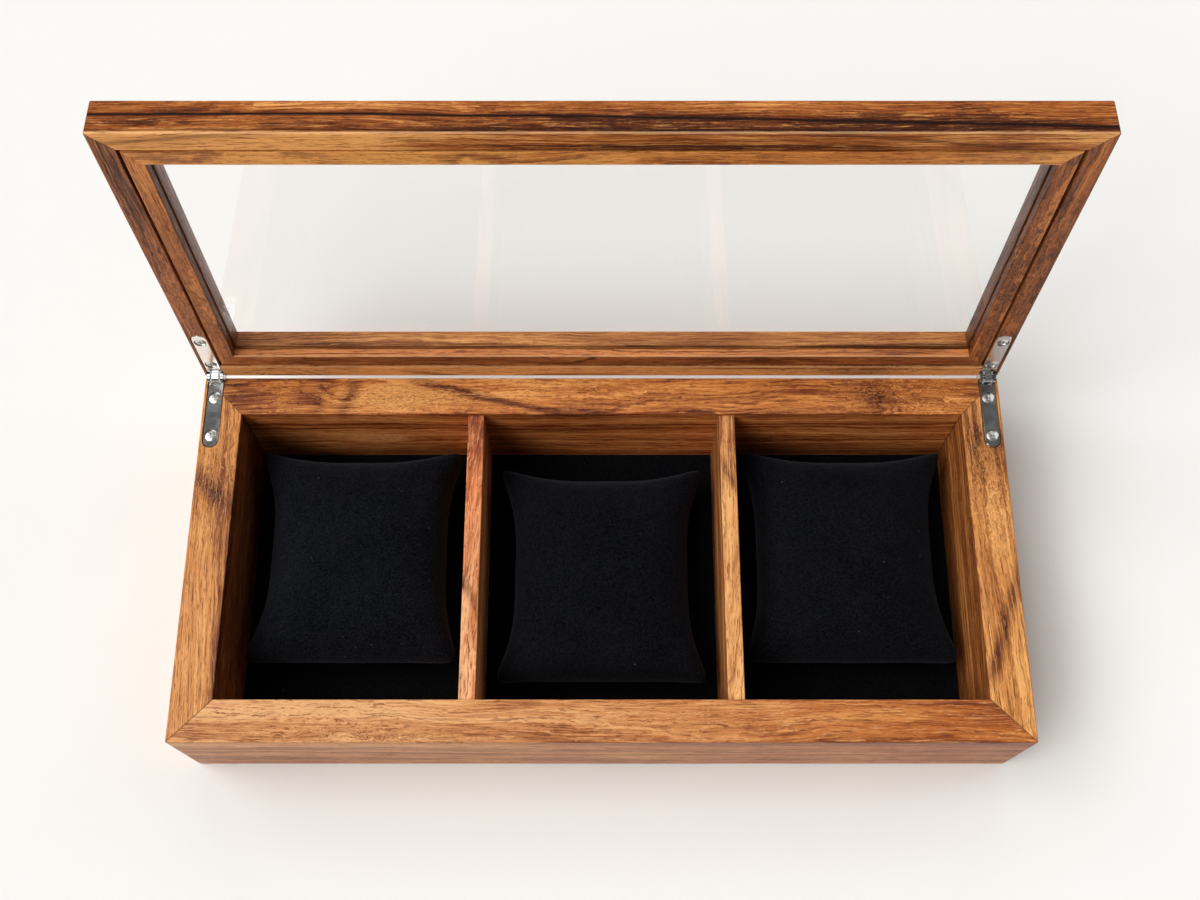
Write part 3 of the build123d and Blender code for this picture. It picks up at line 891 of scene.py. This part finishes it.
def polished_metal(name, base, roughness):
    """Polished metal, worn a little unevenly and drawn along one axis."""
    shader = Shader(name)
    place = shader.object_place()
    worn = shader.range(shader.noise(place, WORN_SCALE, 3.0), *WORN_SPAN)
    drawn = shader.noise(place, DRAWN_SCALE, 2.0)
    surface = shader.principled(
        {
            "Base Color": base,
            "Metallic": 1.0,
            "Roughness": shader.math("MULTIPLY_ADD", worn, WORN_ROUGHNESS, roughness),
            "Normal": shader.bump(drawn, DRAWN_DEPTH_MM * MM, 0.5),
        }
    )
    return shader.finish(surface)


def clear_glass():
    """Clear glass that lets lamps shine through it."""
    shader = Shader("clear_glass")
    glass = shader.principled(
        {
            "Base Color": GLASS_TINT,
            "Roughness": 0.0,
            "IOR": GLASS_IOR,
            "Transmission Weight": 1.0,
        }
    )
    shadow = shader.add("ShaderNodeBsdfTransparent", {"Color": GLASS_SHADOW}).outputs[0]
    rays = shader.add("ShaderNodeLightPath").outputs
    lit_through = shader.math("MAXIMUM", rays["Is Shadow Ray"], rays["Is Diffuse Ray"])
    mixed = shader.add("ShaderNodeMixShader")
    shader.put(mixed.inputs[0], lit_through)
    shader.put(mixed.inputs[1], glass)
    shader.put(mixed.inputs[2], shadow)
    return shader.finish(mixed.outputs[0])


def velvet(name, base, tip):
    """Short black pile: brushed patches, fine nap and a few specks of lint."""
    shader = Shader(name)
    millimetres = shader.mapping(shader.object_place(), scale=(1 / MM,) * 3)
    brushed = shader.noise(millimetres, BRUSHED_SCALE, 3.0, 0.6)
    nap = shader.noise(millimetres, NAP_SCALE, 3.0, 0.9)
    tone = shader.math("MULTIPLY_ADD", nap, 0.9, shader.math("MULTIPLY", brushed, 0.14))
    pile = shader.mix(shader.range(tone, *TIP_SPAN), base, tip)
    cells = shader.add("ShaderNodeTexVoronoi", {"Vector": millimetres, "Scale": LINT_SCALE})
    chosen = shader.math("GREATER_THAN", shader.split(cells.outputs["Color"])[0], LINT_EMPTY)
    lint = shader.math("MULTIPLY", chosen, shader.range(cells.outputs["Distance"], *LINT_SPAN))
    colour = shader.mix(shader.math("MULTIPLY", lint, LINT_STRENGTH), pile, LINT_COLOUR)
    height = shader.math("MULTIPLY_ADD", brushed, 0.4, nap)
    surface = shader.principled(
        {
            "Base Color": colour,
            "Roughness": 0.95,
            "Specular IOR Level": 0.02,
            "Sheen Weight": 0.10,
            "Sheen Roughness": 0.4,
            "Sheen Tint": SHEEN_TINT,
            "Normal": shader.bump(height, PILE_DEPTH_MM * MM),
        }
    )
    return shader.finish(surface)


# ---------------------------------------------------------------- cushions

# The bag is simulated at ten times its real size, with this many cells each way
CLOTH_SCALE = 10.0
CELLS = 44
CLOTH_STEPS = 30
CACHE_END = 40

# How far the ears are rounded off, and powers that say how near to the corners the rounding and
# the hollows of the sides stay
EAR_ROUNDING_MM = 8.0
EAR_POWER = 10
SIDE_POWER = 3
FRONT_POWER = 6

# The bag before it is blown up: how full, how square and steep its crown, and how uneven
START_FILLING = 0.95
CROWN_POWER = 4
CROWN_STEEPNESS = 0.55
START_UNEVENNESS = 0.02

# How far the seam stands out at the middle of a side
SEAM_MM = 0.6


def sewn_bag(size, hollows, seed):
    """Two square sheets sewn together round their edges, as a mesh ten times its real size.

    The hollows say how far the middle of the left, right, back and front sides lies inside the
    cushion's ears, in millimetres.
    """
    mesh = bmesh.new()
    random = np.random.default_rng(seed)
    scale = MM * CLOTH_SCALE
    half_x, half_y, half_z = Vector(size) * CLOTH_SCALE / 2
    left, right, back, front = [hollow * scale for hollow in hollows]
    sheets = {}
    for row in range(CELLS + 1):
        for column in range(CELLS + 1):
            s, t = 2 * column / CELLS - 1, 2 * row / CELLS - 1
            ear = EAR_ROUNDING_MM * scale * abs(s * t) ** EAR_POWER
            hollow_x = (left if s < 0 else right) * (1 - abs(t) ** SIDE_POWER)
            hollow_y = front * (1 - s**FRONT_POWER) if t < 0 else back * (1 - abs(s) ** SIDE_POWER)
            x = s * (half_x - ear - hollow_x)
            y = t * (half_y - ear - hollow_y)
            crown = ((1 - s**CROWN_POWER) * (1 - t**CROWN_POWER)) ** CROWN_STEEPNESS
            uneven = 1 + START_UNEVENNESS * random.standard_normal()
            rise = START_FILLING * half_z * crown * uneven
            edge = row in (0, CELLS) or column in (0, CELLS)
            upper = mesh.verts.new((x, y, 0 if edge else rise))
            lower = upper if edge else mesh.verts.new((x, y, -rise))
            sheets[row, column] = (upper, lower)
    for row in range(CELLS):
        for column in range(CELLS):
            corners = [(row, column), (row, column + 1), (row + 1, column + 1), (row + 1, column)]
            mesh.faces.new([sheets[corner][0] for corner in corners])
            mesh.faces.new([sheets[corner][1] for corner in reversed(corners)])
    data = bpy.data.meshes.new("bag")
    mesh.to_mesh(data)
    mesh.free()
    return data


def inflate(bag):
    """Blow the bag up with the cloth solver and keep the result."""
    cloth = bag.modifiers.new("filling", "CLOTH")
    settings = cloth.settings
    settings.quality = 8
    settings.mass = 0.3
    settings.tension_stiffness = 40.0
    settings.compression_stiffness = 40.0
    settings.shear_stiffness = 8.0
    settings.bending_stiffness = 10.0
    settings.use_pressure = True
    settings.uniform_pressure_force = 1.5
    settings.effector_weights.gravity = 0.0
    settings.air_damping = 4.0
    cloth.point_cache.frame_end = CACHE_END
    for step in range(CLOTH_STEPS):
        bpy.context.scene.frame_set(step + 1)
    depsgraph = bpy.context.evaluated_depsgraph_get()
    data = bpy.data.meshes.new_from_object(bag.evaluated_get(depsgraph))
    bag.modifiers.clear()
    bag.data = data
    bpy.context.scene.frame_set(1)


def push_out_seam(points, seam):
    """Push the seam outward, most at the middle of each side and not at all at the corners."""
    reach_x, reach_y, _ = points.max(0)
    outward = points[seam] / np.linalg.norm(points[seam], axis=1, keepdims=True)
    middle = 1 - np.abs(points[seam, :1] * points[seam, 1:2]) / (reach_x * reach_y)
    points[seam] += outward * middle * SEAM_MM * MM * CLOTH_SCALE


def cushion(name, material, hollows, seed):
    """One cushion's cover: a sewn bag, blown up and fitted into its CAD cushion's box."""
    low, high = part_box(name)
    size = high - low
    data = sewn_bag(size, hollows, seed)
    piece = bpy.data.objects.new(f"{name}_cover", data)
    bpy.context.scene.collection.objects.link(piece)
    seam = [vertex.index for vertex in data.vertices if vertex.co.z == 0.0]
    inflate(piece)
    points = np.array([vertex.co for vertex in piece.data.vertices])
    push_out_seam(points, seam)
    lowest, highest = points.min(0), points.max(0)
    points = (points - (lowest + highest) / 2) / (highest - lowest) * np.array(size)
    points = points + np.array((low + high) / 2)
    piece.data.vertices.foreach_set("co", points.astype(np.float32).ravel())
    piece.data.shade_smooth()
    piece.data.materials.append(material)
    smoother = piece.modifiers.new("smooth", "SUBSURF")
    smoother.levels = smoother.render_levels = 1
    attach(piece, name)
    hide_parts(name)


def add_cushions():
    """The three cushions, each with its own hollows and unevenness."""
    # The left cushion's velvet is a lighter copy of the others': painted light, as it shows
    # brighter
    pile = velvet("cushion_velvet_pile", srgb(5, 6, 7), srgb(27, 28, 33))
    dark_pile = velvet("cushion_velvet_pile_dark", srgb(5, 5, 6), srgb(23, 24, 28))
    cushion("left_cushion", pile, (11.0, 8.5, 8.5, 4.0), 1)
    cushion("middle_cushion", dark_pile, (10.5, 10.5, 9.0, 5.0), 2)
    cushion("right_cushion", dark_pile, (8.5, 11.0, 8.5, 4.0), 3)


# ---------------------------------------------------------------- ground

GROUND_REACH = 30.0
GROUND_DROP = 0.0001
GROUND_LIGHT = (0.898, 0.888, 0.860, 1.0)
GROUND_DARK = (0.888, 0.878, 0.850, 1.0)


def add_ground():
    """A pale sheet just under the box, far wider than any view of it."""
    shader = Shader("ground")
    tooth = shader.noise(shader.object_place(), (60.0, 60.0, 60.0), 3.0)
    colour = shader.mix(tooth, GROUND_DARK, GROUND_LIGHT)
    surface = shader.principled(
        {"Base Color": colour, "Roughness": 0.9, "Specular IOR Level": 0.1}
    )
    data = bpy.data.meshes.new("ground")
    signs = ((-1, -1), (1, -1), (1, 1), (-1, 1))
    corners = [(x * GROUND_REACH, y * GROUND_REACH, -GROUND_DROP) for x, y in signs]
    data.from_pydata(corners, [], [(0, 1, 2, 3)])
    data.materials.append(shader.finish(surface))
    ground = bpy.data.objects.new("ground", data)
    bpy.context.scene.collection.objects.link(ground)


# ---------------------------------------------------------------- the whole picture


def finish_metal():
    """Nickel plate on the hinge leaves, and bright steel for pins and screws."""
    bright_plate = polished_metal("nickel_plate_bright", srgb(236, 235, 232), 0.14)
    # The case leaves get a darker copy of the same nickel: painted shade, for the darker room they
    # reflect
    shaded_plate = polished_metal("nickel_plate_shaded", srgb(186, 187, 187), 0.14)
    steel = polished_metal("screw_steel_bright", srgb(218, 217, 214), 0.24)
    for side in ("left", "right"):
        assign(f"{side}_lid_leaf", bright_plate)
        assign(f"{side}_case_leaf", shaded_plate)
        for part in ("hinge_pin", "case_screws", "lid_screws"):
            assign(f"{side}_{part}", steel)


def finish_glass_and_lining():
    """The pane, and the velvet on the floor of each bay."""
    assign("glass_pane", clear_glass())
    lining = velvet("lining_velvet_pile", srgb(9, 9, 11), srgb(20, 20, 23))
    for bay in ("left", "middle", "right"):
        assign(f"{bay}_floor_lining", lining)


add_camera()
add_ground()
finish_wood()
finish_metal()
finish_glass_and_lining()
add_cushions()
for lamp in LAMPS:
    add_lamp(*lamp)
add_room_light()
bpy.context.scene.view_settings.view_transform = "Standard"
